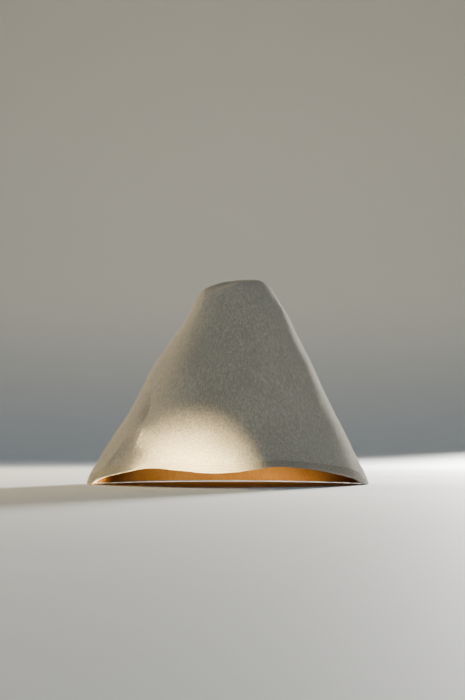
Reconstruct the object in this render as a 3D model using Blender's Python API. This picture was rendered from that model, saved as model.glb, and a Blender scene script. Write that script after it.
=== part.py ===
"""A soft felt hat: a flared bell of thick wool felt, crown and brim in one piece, with a cloth lining.

The hat stands on its rim. +Z is up, -Y is the front, and the origin is on the ground under the middle of
the hat's box. Every length is in metres.

The outer face of the felt is one surface of two numbers: the turn round the hat, 0 at the front and a
quarter turn at the right (+X), and the way along the felt, 0 at the edge of the rim and 1 at the tip.
The other faces lie under it at a stated depth, measured square to the felt.
"""

from collections import namedtuple

import bpy
import numpy as np

# Size of the whole hat
RIM_WIDTH = 0.280
RIM_DEPTH = 0.250
HAT_HEIGHT = 0.2065

# The layers, from the outside in
FELT_WALL = 0.0024
LINING_GAP = 0.0003
LINING_WALL = 0.0012
LINING_SETBACK = 0.0020

# Forms that are pressed or worn into the felt
HEM_LIFT = 0.0190
HEM_LIFT_REACH = 0.070
HEM_INSET = 0.0040
FOLD_DEPTH = 0.0030
DENT_DEPTH = 0.0060
DENT_LENGTH = 0.044
DENT_WIDTH = 0.020
LIP_STEP = 0.0040
TIP_SLANT = 0.0080

# How sharply the felt bends round the two sides at the rim: 0 is a plain ellipse, 1 a pointed lens.
# TIP_BEND is the share of the bend that is left at the tip.
LEFT_BEND = 0.38
RIGHT_BEND = 0.26
BEND_REACH = 0.18
TIP_BEND = 0.35

# The mesh: columns go round the hat, closest together at CROWDED_TURN in degrees, and rows go up it.
# HEM_ROW and SHOULDER are ways along the felt, and PROBE is the small step that normals are taken over.
COLUMNS = 64
HEM_ROW = 0.028
SIDE_ROWS = 14
TIP_ROWS = 6
SHOULDER = 0.86
CROWDING = 0.30
CROWDED_TURN = -60.0
SHARP_ANGLE = 50.0
PROBE = 1e-4

# Sections of the felt from the rim to the tip. rise is a share of HAT_HEIGHT. left and right are where
# the section ends at each side, as shares of half RIM_WIDTH from the rim's middle, and front and back
# are the same along the depth. slant is how much higher the section is at its right than at its left,
# as a share of TIP_SLANT.
Section = namedtuple("Section", "rise left right front back slant")
SECTIONS = (
    Section(0.000, -1.000, 1.000, -1.000, 1.000, 0.00),
    Section(0.030, -0.991, 0.985, -0.986, 0.988, 0.00),
    Section(0.116, -0.920, 0.921, -0.922, 0.930, 0.00),
    Section(0.232, -0.814, 0.839, -0.828, 0.845, 0.00),
    Section(0.349, -0.700, 0.752, -0.732, 0.755, 0.00),
    Section(0.465, -0.607, 0.671, -0.640, 0.665, 0.00),
    Section(0.581, -0.518, 0.596, -0.552, 0.575, 0.00),
    Section(0.697, -0.404, 0.507, -0.452, 0.470, 0.10),
    Section(0.814, -0.304, 0.423, -0.352, 0.365, 0.35),
    Section(0.886, -0.256, 0.348, -0.280, 0.292, 0.70),
    Section(0.934, -0.206, 0.297, -0.226, 0.240, 1.00),
    Section(0.966, -0.150, 0.246, -0.170, 0.186, 0.95),
    Section(0.985, -0.086, 0.196, -0.112, 0.128, 0.75),
    Section(0.992, -0.008, 0.136, -0.052, 0.064, 0.40),
    Section(0.993, 0.064, 0.064, 0.006, 0.006, 0.00),
)

# The front of the hem, from the left to the right. turn is in degrees. lift is how far the edge stands
# off the ground there, as a share of HEM_LIFT, and inset how far it draws in, as a share of HEM_INSET.
# Where lift is 0 at two turns that follow each other, the rim lies flat on the ground between them.
Wave = namedtuple("Wave", "turn lift inset")
HEM_WAVES = (
    Wave(-180.0, 0.00, 0.00),
    Wave(-76.0, 0.00, 0.00),
    Wave(-64.0, 0.30, 0.25),
    Wave(-46.0, 0.66, 0.60),
    Wave(-31.0, 0.90, 1.00),
    Wave(-18.0, 0.79, 0.45),
    Wave(-7.0, 0.69, 0.10),
    Wave(2.0, 0.74, 0.30),
    Wave(12.0, 0.89, 0.80),
    Wave(20.0, 1.00, 1.00),
    Wave(31.0, 0.92, 0.75),
    Wave(45.0, 0.67, 0.40),
    Wave(61.0, 0.34, 0.15),
    Wave(76.0, 0.00, 0.00),
    Wave(180.0, 0.00, 0.00),
)

# Soft folds. Each runs from a low end to a high end, with its turn in degrees and its rise as a share of
# HAT_HEIGHT at both. spread is half its width in degrees. out is its height as a share of FOLD_DEPTH,
# above 0 for a ridge and below 0 for a valley.
Fold = namedtuple("Fold", "low_turn low_rise high_turn high_rise spread out")
FOLDS = (
    Fold(-50.0, 0.27, -58.5, 0.41, 6.0, -1.00),
    Fold(-45.0, 0.14, -48.0, 0.31, 6.0, 0.40),
    Fold(-60.0, 0.06, -55.0, 0.24, 6.0, 0.60),
    Fold(-69.0, 0.06, -66.0, 0.22, 6.0, -0.45),
    Fold(-52.0, 0.05, -50.0, 0.22, 5.0, -0.35),
    Fold(-72.0, 0.48, -70.0, 0.62, 9.0, 0.35),
    Fold(-52.0, 0.70, -50.0, 0.92, 14.0, 0.55),
    Fold(-6.0, 0.62, -4.0, 0.86, 12.0, -0.40),
    Fold(58.0, 0.08, 60.0, 0.80, 14.0, 0.35),
    Fold(150.0, 0.10, 146.0, 0.45, 12.0, 0.50),
    Fold(168.0, 0.12, 160.0, 0.60, 10.0, -0.55),
    Fold(-150.0, 0.14, -156.0, 0.52, 13.0, -0.50),
    Fold(-128.0, 0.08, -134.0, 0.40, 12.0, 0.40),
)

# Where the dent in the tip lies, as shares of half RIM_WIDTH and half RIM_DEPTH from the rim's middle.
# The dent and the step between its two lips act above LIP_START, a share of HAT_HEIGHT, and the step
# fades again from LIP_END, the way along the felt, because the tip itself is one point.
DENT_SIDE = 0.030
DENT_FRONT = -0.010
LIP_START = 0.86
LIP_END = 0.97

Look = namedtuple("Look", "name colour roughness sheen")
FELT_LOOK = Look("cream_felt", (0.760, 0.687, 0.565), 0.95, 0.35)
LINING_LOOK = Look("ochre_cloth", (0.578, 0.235, 0.026), 0.85, 0.15)


def clear_scene():
    """Remove whatever the open file holds."""
    for thing in list(bpy.data.objects):
        bpy.data.objects.remove(thing, do_unlink=True)


def curve_through(places, values, at):
    """Read a smooth curve through the given values that never swings past them.

    Each stretch is a cubic. Its slope at a given place is the harmonic mean of the straight slopes on
    the two sides, or level where those differ in sign or one of them is level.
    """
    places = np.asarray(places, float)
    values = np.asarray(values, float)
    steps = np.diff(places)
    straight = np.diff(values) / steps
    before = straight[:-1]
    after = straight[1:]
    product = before * after
    total = np.where(product > 0.0, before + after, 1.0)
    middle = np.where(product > 0.0, 2.0 * product / total, 0.0)
    slopes = np.concatenate(([straight[0]], middle, [straight[-1]]))
    spot = np.clip(np.searchsorted(places, at, side="right") - 1, 0, len(steps) - 1)
    step = steps[spot]
    t = (at - places[spot]) / step
    start = values[spot]
    end = values[spot + 1]
    return (
        start * (1.0 + 2.0 * t) * (1.0 - t) ** 2
        + slopes[spot] * step * t * (1.0 - t) ** 2
        + end * t ** 2 * (3.0 - 2.0 * t)
        + slopes[spot + 1] * step * t ** 2 * (t - 1.0)
    )


def column(table, name):
    """One named column of a table as an array."""
    return np.array([getattr(row, name) for row in table])


def smooth_step(start, end, value):
    """0 up to start, 1 from end on, and a smooth rise between them."""
    t = np.clip((value - start) / (end - start), 0.0, 1.0)
    return t * t * (3.0 - 2.0 * t)


def section_places():
    """How far along the felt each section lies: the length of the mean profile up to it, 0 to 1."""
    radius = (column(SECTIONS, "right") - column(SECTIONS, "left")) * RIM_WIDTH / 4.0
    height = column(SECTIONS, "rise") * HAT_HEIGHT
    lengths = np.hypot(np.diff(radius), np.diff(height))
    return np.concatenate(([0.0], np.cumsum(lengths))) / lengths.sum()


def fold_relief(turn, rise):
    """How far the soft folds push the felt out: each is a bell across its line and fades at its ends."""
    relief = np.zeros(np.broadcast(turn, rise).shape)
    degrees = np.degrees(turn)
    for fold in FOLDS:
        share = (rise - fold.low_rise) / (fold.high_rise - fold.low_rise)
        line = fold.low_turn + (fold.high_turn - fold.low_turn) * np.clip(share, 0.0, 1.0)
        across = ((degrees - line + 180.0) % 360.0 - 180.0) / fold.spread
        past_end = np.abs(share - 0.5) * 2.0
        relief = relief + fold.out * np.exp(-across ** 2) * np.exp(-past_end ** 4)
    return relief * FOLD_DEPTH


def raw_outer_face(turn, along):
    """The outer face before it is brought to its stated height.

    Each point lies on its section at its turn. The section is an ellipse whose depth is drawn in near
    the two sides, by (cos^2 + reach^2) to a power, which bends the felt more sharply there. The folds
    push it out level, the hem's waves lift it near the rim, and the dent lowers it at the tip.
    """
    places = section_places()
    rise = curve_through(places, column(SECTIONS, "rise"), along)
    left = curve_through(places, column(SECTIONS, "left"), along)
    right = curve_through(places, column(SECTIONS, "right"), along)
    front = curve_through(places, column(SECTIONS, "front"), along)
    back = curve_through(places, column(SECTIONS, "back"), along)
    slant = curve_through(places, column(SECTIONS, "slant"), along)

    side = np.sin(turn)
    ahead = np.cos(turn)
    bend = LEFT_BEND + (RIGHT_BEND - LEFT_BEND) * (side + 1.0) / 2.0
    bend = bend * (1.0 - (1.0 - TIP_BEND) * smooth_step(0.0, 1.0, along))
    pinch = ((ahead ** 2 + BEND_REACH ** 2) / (1.0 + BEND_REACH ** 2)) ** (bend / 2.0)
    x = ((left + right) + (right - left) * side) * RIM_WIDTH / 4.0
    y = ((front + back) - (back - front) * ahead * pinch) * RIM_DEPTH / 4.0
    z = rise * HAT_HEIGHT + slant * TIP_SLANT * side / 2.0

    degrees = (np.degrees(turn) + 180.0) % 360.0 - 180.0
    lift = curve_through(column(HEM_WAVES, "turn"), column(HEM_WAVES, "lift"), degrees)
    inset = curve_through(column(HEM_WAVES, "turn"), column(HEM_WAVES, "inset"), degrees)
    near_hem = np.clip(1.0 - z / HEM_LIFT_REACH, 0.0, 1.0) ** 2

    out = fold_relief(turn, rise) - inset * HEM_INSET * near_hem
    x = x + out * side
    y = y - out * ahead

    in_dent = ((x / (RIM_WIDTH / 2.0) - DENT_SIDE) * RIM_WIDTH / DENT_LENGTH) ** 2
    in_dent = in_dent + ((y / (RIM_DEPTH / 2.0) - DENT_FRONT) * RIM_DEPTH / DENT_WIDTH) ** 2
    at_tip = smooth_step(LIP_START, 1.0, rise)
    z = z + lift * HEM_LIFT * near_hem
    z = z - DENT_DEPTH * np.exp(-in_dent) * at_tip
    z = z - LIP_STEP * ahead / 2.0 * at_tip * (1.0 - smooth_step(LIP_END, 1.0, along))
    return np.stack((x, y, z), axis=-1)


def column_turns():
    """The turn of each column, closer together at the folds of the left front."""
    even = np.arange(COLUMNS) * 2.0 * np.pi / COLUMNS
    return even - CROWDING * np.sin(even - np.radians(CROWDED_TURN))


def row_places():
    """The way along the felt of each row: the edge, the hem, and even steps to the shoulder and the tip."""
    side = np.linspace(HEM_ROW, SHOULDER, SIDE_ROWS + 1)
    tip = np.linspace(SHOULDER, 1.0, TIP_ROWS + 1)[1:]
    return np.concatenate(([0.0], side, tip))


def fitted_outer_face():
    """A function for the outer face, brought to its height and centred over the origin."""
    turns = column_turns()[None, :]
    places = row_places()[:, None]
    raw = raw_outer_face(turns, places)
    low = raw.min(axis=(0, 1))
    high = raw.max(axis=(0, 1))
    middle = (low + high) / 2.0
    stretch = HAT_HEIGHT / high[2]

    def outer_face(turn, along):
        points = raw_outer_face(turn, along)
        points = points - np.array((middle[0], middle[1], 0.0))
        return points * np.array((1.0, 1.0, stretch))

    return outer_face


def felt_normals(outer_face, turn, along):
    """Outward directions, square to the face, from points a small step away each way."""
    low = np.clip(along - PROBE, 0.0, 1.0 - 2.0 * PROBE)
    round_it = outer_face(turn + PROBE, low + PROBE) - outer_face(turn - PROBE, low + PROBE)
    up_it = outer_face(turn, low + 2.0 * PROBE) - outer_face(turn, low)
    normal = np.cross(round_it, up_it)
    return normal / np.linalg.norm(normal, axis=-1, keepdims=True)


def layer_rows(outer_face, depth, setback):
    """Rows of points at a depth under the outer face, and the single point at the tip.

    The lowest row is moved in level instead, by the depth over the level part of the normal, so that
    the edge of the wall is level too and still as thick. A setback then draws that row up the wall.
    """
    turns = column_turns()[None, :]
    places = row_places()[:-1, None]
    points = outer_face(turns, places)
    normals = felt_normals(outer_face, turns, places)
    layer = points - depth * normals
    level = normals[0, :, :2]
    layer[0] = points[0]
    layer[0, :, :2] -= depth * level / np.sum(level ** 2, axis=-1, keepdims=True)
    up_wall = layer[1] - layer[0]
    layer[0] += setback * up_wall / np.linalg.norm(up_wall, axis=-1, keepdims=True)
    top = outer_face(np.zeros(1), np.ones(1))[0] - np.array((0.0, 0.0, depth))
    return layer, top


def wall_mesh(name, outer_rows, outer_top, inner_rows, inner_top):
    """A closed wall between two layers that have the same rows and columns."""
    rows, columns = outer_rows.shape[:2]
    count = rows * columns
    points = np.concatenate((
        outer_rows.reshape(-1, 3), outer_top[None, :], inner_rows.reshape(-1, 3), inner_top[None, :],
    ))
    inner = count + 1
    faces = []
    for row in range(rows):
        for here in range(columns):
            after = (here + 1) % columns
            a = row * columns + here
            b = row * columns + after
            if row < rows - 1:
                c = b + columns
                d = a + columns
                faces.append((a, b, c, d))
                faces.append((inner + a, inner + d, inner + c, inner + b))
            else:
                faces.append((a, b, count))
                faces.append((inner + a, inner + count, inner + b))
            if row == 0:
                faces.append((a, inner + a, inner + b, b))
    mesh = bpy.data.meshes.new(name)
    mesh.from_pydata(points.tolist(), [], faces)
    mesh.update()
    mesh.shade_smooth()
    mesh.set_sharp_from_angle(angle=np.radians(SHARP_ANGLE))
    return mesh


def cloth_material(look):
    """A matt cloth with a soft sheen."""
    material = bpy.data.materials.new(look.name)
    material.use_nodes = True
    shader = material.node_tree.nodes["Principled BSDF"]
    shader.inputs["Base Color"].default_value = (*look.colour, 1.0)
    shader.inputs["Roughness"].default_value = look.roughness
    shader.inputs["Metallic"].default_value = 0.0
    shader.inputs["Sheen Weight"].default_value = look.sheen
    return material


def add_layer(name, outer_face, outer_depth, wall, setback, look):
    """Add one closed layer of the hat that starts at a depth under the outer face."""
    outer_rows, outer_top = layer_rows(outer_face, outer_depth, setback)
    inner_rows, inner_top = layer_rows(outer_face, outer_depth + wall, setback)
    mesh = wall_mesh(name, outer_rows, outer_top, inner_rows, inner_top)
    mesh.materials.append(cloth_material(look))
    layer = bpy.data.objects.new(name, mesh)
    bpy.context.scene.collection.objects.link(layer)
    return layer


def build_hat():
    """Model the felt and the lining inside it."""
    clear_scene()
    outer_face = fitted_outer_face()
    add_layer("felt_shell", outer_face, 0.0, FELT_WALL, 0.0, FELT_LOOK)
    add_layer("lining", outer_face, FELT_WALL + LINING_GAP, LINING_WALL, LINING_SETBACK, LINING_LOOK)


build_hat()
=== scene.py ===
# %% [markdown]
# # A soft felt hat
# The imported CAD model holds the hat's two layers, a shell of thick wool felt and a cloth lining, at
# their real size. This lesson gives them their looks. The frame is loaded first and never moved, so
# every new surface can be laid exactly where the solids are.

# %% Open the frame
from collections import namedtuple
import math

import bpy
import numpy as np
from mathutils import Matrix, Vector


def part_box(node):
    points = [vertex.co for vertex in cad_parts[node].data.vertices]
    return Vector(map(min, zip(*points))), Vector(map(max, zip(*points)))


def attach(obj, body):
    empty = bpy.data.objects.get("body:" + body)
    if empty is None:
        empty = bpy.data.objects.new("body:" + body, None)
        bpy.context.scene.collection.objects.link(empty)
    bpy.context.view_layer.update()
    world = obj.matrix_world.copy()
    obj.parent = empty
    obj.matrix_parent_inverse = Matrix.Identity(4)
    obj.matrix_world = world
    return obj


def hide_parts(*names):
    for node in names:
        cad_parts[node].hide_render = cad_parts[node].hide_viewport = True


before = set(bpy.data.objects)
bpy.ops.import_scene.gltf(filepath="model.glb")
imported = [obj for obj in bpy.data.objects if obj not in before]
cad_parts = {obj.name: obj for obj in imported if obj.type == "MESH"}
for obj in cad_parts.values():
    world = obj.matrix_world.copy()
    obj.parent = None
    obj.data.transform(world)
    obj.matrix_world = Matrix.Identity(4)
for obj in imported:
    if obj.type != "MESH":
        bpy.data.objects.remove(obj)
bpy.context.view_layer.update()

shell_low, shell_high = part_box("felt_shell")
RIM_WIDTH = shell_high.x - shell_low.x
RIM_DEPTH = shell_high.y - shell_low.y
HAT_HEIGHT = shell_high.z - shell_low.z
print(f"The felt is {RIM_WIDTH:.3f} m wide, {RIM_DEPTH:.3f} m deep and {HAT_HEIGHT:.4f} m tall.")

# %% [markdown]
# ## The camera
# The hat rests on its rim. The photograph looks at it from the front and from low down, so the camera
# stands just above the floor and looks up a little. A long lens from 1.3 m away keeps the flare of the
# rim as flat as it is there. One pixel of the picture is one millimetre at the middle of the hat.

# %% Set up the camera
CAMERA_AWAY = 1.30
CAMERA_HEIGHT = 0.035
AIM = Vector((0.0045, 0.0, 0.134))
PICTURE_TALL = 0.700
CLIP_START = 0.01

camera_data = bpy.data.cameras.new("camera")
camera = bpy.data.objects.new("camera", camera_data)
bpy.context.scene.collection.objects.link(camera)
camera.location = (AIM.x, -CAMERA_AWAY, CAMERA_HEIGHT)
camera.rotation_euler = (AIM - camera.location).to_track_quat("-Z", "Y").to_euler()
camera_data.lens = camera_data.sensor_width * CAMERA_AWAY / PICTURE_TALL
camera_data.clip_start = CLIP_START
bpy.context.scene.camera = camera
print(f"The lens is {camera_data.lens:.1f} mm.")

# %% [markdown]
# ## Reading a curve through a few values
# A hat body is blocked by hand, so its form follows a handful of sections, not a formula. A cubic through
# the sections would swing past them where they change fast. Harmonic mean slopes keep it between them,
# and keep the rim exactly level where the table says that it lies on the floor.

# %% Smooth curves


def curve_through(places, values, at):
    """Cubic pieces through the values; each slope is the harmonic mean of its neighbours, or level."""
    places = np.asarray(places, float)
    values = np.asarray(values, float)
    steps = np.diff(places)
    straight = np.diff(values) / steps
    before = straight[:-1]
    after = straight[1:]
    product = before * after
    total = np.where(product > 0.0, before + after, 1.0)
    middle = np.where(product > 0.0, 2.0 * product / total, 0.0)
    slopes = np.concatenate(([straight[0]], middle, [straight[-1]]))
    spot = np.clip(np.searchsorted(places, at, side="right") - 1, 0, len(steps) - 1)
    step = steps[spot]
    t = (at - places[spot]) / step
    return (
        values[spot] * (1.0 + 2.0 * t) * (1.0 - t) ** 2
        + slopes[spot] * step * t * (1.0 - t) ** 2
        + values[spot + 1] * t ** 2 * (3.0 - 2.0 * t)
        + slopes[spot + 1] * step * t ** 2 * (t - 1.0)
    )


def smooth_step(start, end, value):
    """0 up to start, 1 from end on, and t * t * (3 - 2 t) between them."""
    t = np.clip((value - start) / (end - start), 0.0, 1.0)
    return t * t * (3.0 - 2.0 * t)


def column(table, name):
    """One named column of a table as an array."""
    return np.array([getattr(row, name) for row in table])


# %% [markdown]
# ## The form of the felt
# The crown and the brim are one piece of felt, so they are one surface of two numbers: the turn round the
# hat, 0 at the front and a quarter turn at the right, and the way along the felt, 0 at the edge and 1 at
# the tip. The sections, the waves of the hem, the soft folds and the dent are the ones that the solids
# have, as shares of sizes read from the frame. Relief that is too fine for the solids comes on top: the
# sharper creases, the two lips of the dent that part a little, and a small shoulder beside it.

# %% The tables of the form
HEM_LIFT = 0.0190
HEM_LIFT_REACH = 0.070
HEM_INSET = 0.0040
FOLD_DEPTH = 0.0030
DENT_DEPTH = 0.0060
DENT_LENGTH = 0.044
DENT_WIDTH = 0.020
DENT_SIDE = 0.030
DENT_FRONT = -0.010
LIP_STEP = 0.0040
LIP_START = 0.86
LIP_END = 0.97
LIP_PARTING = 0.0028
LIP_MIDDLE = -0.0130
LIP_REACH = 0.0140
LIP_WIDTH = 0.0090
SHOULDER_LIFT = 0.0030
SHOULDER_PLACE = -0.0260
SHOULDER_WIDTH = 0.0080
TIP_SLANT = 0.0080
LEFT_BEND = 0.38
RIGHT_BEND = 0.26
BEND_REACH = 0.18
TIP_BEND = 0.35

Section = namedtuple("Section", "rise left right front back slant")
SECTIONS = (
    Section(0.000, -1.000, 1.000, -1.000, 1.000, 0.00),
    Section(0.030, -0.991, 0.985, -0.986, 0.988, 0.00),
    Section(0.116, -0.920, 0.921, -0.922, 0.930, 0.00),
    Section(0.232, -0.814, 0.839, -0.828, 0.845, 0.00),
    Section(0.349, -0.700, 0.752, -0.732, 0.755, 0.00),
    Section(0.465, -0.607, 0.671, -0.640, 0.665, 0.00),
    Section(0.581, -0.518, 0.596, -0.552, 0.575, 0.00),
    Section(0.697, -0.404, 0.507, -0.452, 0.470, 0.10),
    Section(0.814, -0.304, 0.423, -0.352, 0.365, 0.35),
    Section(0.886, -0.256, 0.348, -0.280, 0.292, 0.70),
    Section(0.934, -0.206, 0.297, -0.226, 0.240, 1.00),
    Section(0.966, -0.150, 0.246, -0.170, 0.186, 0.95),
    Section(0.985, -0.086, 0.196, -0.112, 0.128, 0.75),
    Section(0.992, -0.008, 0.136, -0.052, 0.064, 0.40),
    Section(0.993, 0.064, 0.064, 0.006, 0.006, 0.00),
)

Wave = namedtuple("Wave", "turn lift inset")
HEM_WAVES = (
    Wave(-180.0, 0.00, 0.00),
    Wave(-76.0, 0.00, 0.00),
    Wave(-64.0, 0.30, 0.25),
    Wave(-46.0, 0.66, 0.60),
    Wave(-31.0, 0.90, 1.00),
    Wave(-18.0, 0.79, 0.45),
    Wave(-7.0, 0.69, 0.10),
    Wave(2.0, 0.74, 0.30),
    Wave(12.0, 0.89, 0.80),
    Wave(20.0, 1.00, 1.00),
    Wave(31.0, 0.92, 0.75),
    Wave(45.0, 0.67, 0.40),
    Wave(61.0, 0.34, 0.15),
    Wave(76.0, 0.00, 0.00),
    Wave(180.0, 0.00, 0.00),
)

Fold = namedtuple("Fold", "low_turn low_rise high_turn high_rise spread out")
FOLDS = (
    Fold(-50.0, 0.27, -58.5, 0.41, 6.0, -1.00),
    Fold(-45.0, 0.14, -48.0, 0.31, 6.0, 0.40),
    Fold(-60.0, 0.06, -55.0, 0.24, 6.0, 0.60),
    Fold(-69.0, 0.06, -66.0, 0.22, 6.0, -0.45),
    Fold(-52.0, 0.05, -50.0, 0.22, 5.0, -0.35),
    Fold(-72.0, 0.48, -70.0, 0.62, 9.0, 0.35),
    Fold(-52.0, 0.70, -50.0, 0.92, 14.0, 0.55),
    Fold(-6.0, 0.62, -4.0, 0.86, 12.0, -0.40),
    Fold(58.0, 0.08, 60.0, 0.80, 14.0, 0.35),
    Fold(150.0, 0.10, 146.0, 0.45, 12.0, 0.50),
    Fold(168.0, 0.12, 160.0, 0.60, 10.0, -0.55),
    Fold(-150.0, 0.14, -156.0, 0.52, 13.0, -0.50),
    Fold(-128.0, 0.08, -134.0, 0.40, 12.0, 0.40),
)
CREASES = (
    Fold(-52.0, 0.28, -57.5, 0.41, 2.3, -0.62),
    Fold(-46.0, 0.15, -48.5, 0.29, 2.5, 0.32),
    Fold(-61.0, 0.07, -56.0, 0.22, 2.4, 0.36),
    Fold(-66.0, 0.10, -62.0, 0.24, 2.2, -0.30),
    Fold(-90.0, 0.72, -90.0, 0.90, 42.0, -0.80),
)
print(f"{len(SECTIONS)} sections, {len(FOLDS)} soft folds and {len(CREASES)} sharper creases.")

# %% [markdown]
# Each point starts on an ellipse whose depth is drawn in near the two sides, which bends the felt more
# sharply there. Folds push it out level, and the waves of the hem lift it near the edge. At the tip the
# dent lowers it, the lips of the dent part and the shoulder rises. The whole face is then centred and
# brought to the height of the solids.

# %% The outer face of the felt
SURVEY_TURNS = 361
SURVEY_STEPS = 201
PROBE = 1e-4


def profile():
    """The mean radius and height of each section, from which lengths along the felt are measured."""
    radius = (column(SECTIONS, "right") - column(SECTIONS, "left")) * RIM_WIDTH / 4.0
    return radius, column(SECTIONS, "rise") * HAT_HEIGHT


def fold_relief(turn, rise):
    """Sum over folds and creases of out * exp(-across^2) * exp(-past_end^4), times the fold depth."""
    relief = np.zeros(np.broadcast(turn, rise).shape)
    degrees = np.degrees(turn)
    for fold in FOLDS + CREASES:
        share = (rise - fold.low_rise) / (fold.high_rise - fold.low_rise)
        line = fold.low_turn + (fold.high_turn - fold.low_turn) * np.clip(share, 0.0, 1.0)
        across = ((degrees - line + 180.0) % 360.0 - 180.0) / fold.spread
        past_end = np.abs(share - 0.5) * 2.0
        relief = relief + fold.out * np.exp(-across ** 2) * np.exp(-past_end ** 4)
    return relief * FOLD_DEPTH


def raw_outer_face(turn, along):
    """Points (x, y, z): section ellipse with drawn-in sides, then folds, hem waves, dent and lips."""
    radius, height = profile()
    lengths = np.hypot(np.diff(radius), np.diff(height))
    places = np.concatenate(([0.0], np.cumsum(lengths))) / lengths.sum()
    rise, left, right, front, back, slant = (
        curve_through(places, column(SECTIONS, name), along) for name in Section._fields
    )
    side = np.sin(turn)
    ahead = np.cos(turn)
    bend = LEFT_BEND + (RIGHT_BEND - LEFT_BEND) * (side + 1.0) / 2.0
    bend = bend * (1.0 - (1.0 - TIP_BEND) * smooth_step(0.0, 1.0, along))
    pinch = ((ahead ** 2 + BEND_REACH ** 2) / (1.0 + BEND_REACH ** 2)) ** (bend / 2.0)
    x = ((left + right) + (right - left) * side) * RIM_WIDTH / 4.0
    y = ((front + back) - (back - front) * ahead * pinch) * RIM_DEPTH / 4.0
    z = rise * HAT_HEIGHT + slant * TIP_SLANT * side / 2.0

    degrees = (np.degrees(turn) + 180.0) % 360.0 - 180.0
    lift = curve_through(column(HEM_WAVES, "turn"), column(HEM_WAVES, "lift"), degrees)
    inset = curve_through(column(HEM_WAVES, "turn"), column(HEM_WAVES, "inset"), degrees)
    near_hem = np.clip(1.0 - z / HEM_LIFT_REACH, 0.0, 1.0) ** 2
    out = fold_relief(turn, rise) - inset * HEM_INSET * near_hem
    x = x + out * side
    y = y - out * ahead

    in_dent = ((x / (RIM_WIDTH / 2.0) - DENT_SIDE) * RIM_WIDTH / DENT_LENGTH) ** 2
    in_dent = in_dent + ((y / (RIM_DEPTH / 2.0) - DENT_FRONT) * RIM_DEPTH / DENT_WIDTH) ** 2
    at_tip = smooth_step(LIP_START, 1.0, rise)
    z = z + lift * HEM_LIFT * near_hem
    z = z - DENT_DEPTH * np.exp(-in_dent) * at_tip
    z = z - LIP_STEP * ahead / 2.0 * at_tip * (1.0 - smooth_step(LIP_END, 1.0, along))
    parting = np.exp(-((x - LIP_MIDDLE) / LIP_REACH) ** 2) * np.tanh(y / LIP_WIDTH)
    shoulder = np.exp(-((x - SHOULDER_PLACE) / SHOULDER_WIDTH) ** 2)
    z = z + (LIP_PARTING * parting + SHOULDER_LIFT * shoulder) * at_tip
    return np.stack((x, y, z), axis=-1)


FELT_LENGTH = float(np.hypot(*np.diff(profile())).sum())
survey = raw_outer_face(
    np.linspace(-np.pi, np.pi, SURVEY_TURNS)[None, :], np.linspace(0.0, 1.0, SURVEY_STEPS)[:, None]
)
survey_low = survey.min(axis=(0, 1))
survey_high = survey.max(axis=(0, 1))
FACE_SHIFT = -(survey_low + survey_high) / 2.0 * np.array((1.0, 1.0, 0.0))
FACE_STRETCH = np.array((1.0, 1.0, HAT_HEIGHT / survey_high[2]))


def outer_face(turn, along):
    """The raw face centred over the origin and stretched to the hat's height."""
    return (raw_outer_face(turn, along) + FACE_SHIFT) * FACE_STRETCH


def face_normals(turn, along):
    """Outward normals: the cross product of small steps round the hat and up it."""
    low = np.clip(along - PROBE, 0.0, 1.0 - 2.0 * PROBE)
    round_it = outer_face(turn + PROBE, low + PROBE) - outer_face(turn - PROBE, low + PROBE)
    up_it = outer_face(turn, low + 2.0 * PROBE) - outer_face(turn, low)
    normal = np.cross(round_it, up_it)
    return normal / np.linalg.norm(normal, axis=-1, keepdims=True)


print(f"The felt is {FELT_LENGTH * 1000:.0f} mm long from its edge to the tip.")

# %% [markdown]
# ## Small unevenness
# Wool felt is never quite even: it swells and sinks by a few tenths of a millimetre. A sum of waves with
# seeded directions and phases gives that, and joins up round the hat, because each wave fits into one turn
# a whole number of times.

# %% Unevenness
Unevenness = namedtuple("Unevenness", "seed rounds steps waves")


def uneven(turn, along, form):
    """Sum of sines in turn and along, weaker as they get finer; it seldom leaves -1 to 1."""
    draw = np.random.default_rng(form.seed)
    total = np.zeros(np.broadcast(turn, along).shape)
    weight = 0.0
    for _ in range(form.waves):
        around = draw.integers(1, form.rounds)
        up = draw.uniform(-form.steps, form.steps)
        phase = draw.uniform(0.0, 2.0 * np.pi)
        strength = 1.0 / (1.0 + around / form.rounds * 2.0)
        total = total + strength * np.sin(around * turn + 2.0 * np.pi * up * along + phase)
        weight += strength ** 2
    return total / math.sqrt(weight) / 2.0


# %% [markdown]
# ## Joining a wall into a mesh
# A wall is a stack of rings: down the outer face, round the edge and up the inner face. With a single
# point at each end it is closed, so the mesh has no holes. The UV map is kept in metres: across it runs
# round the rim, and up it is the distance from the edge, which counts below zero inside the felt.

# %% Rings into a mesh
UV_RADIUS = 0.132


def full_turn(count):
    """So many angles, evenly spaced round one full turn."""
    return np.arange(count) * 2.0 * np.pi / count


def add_mesh(name, points, faces):
    """A piece with smooth shading, from an array of points and a list of faces."""
    mesh = bpy.data.meshes.new(name)
    mesh.from_pydata(points.reshape(-1, 3).tolist(), [], faces)
    mesh.shade_smooth()
    piece = bpy.data.objects.new(name, mesh)
    bpy.context.scene.collection.objects.link(piece)
    return piece


def ring_grid(rings, columns):
    """The ring and the column where each quad between two rings starts, and the corners of the quads."""
    ring, place = np.meshgrid(np.arange(rings - 1), np.arange(columns), indexing="ij")
    after = (place + 1) % columns
    quads = np.stack((
        ring * columns + place, (ring + 1) * columns + place,
        (ring + 1) * columns + after, ring * columns + after,
    ), axis=-1).reshape(-1, 4)
    return ring, place, quads


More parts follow.
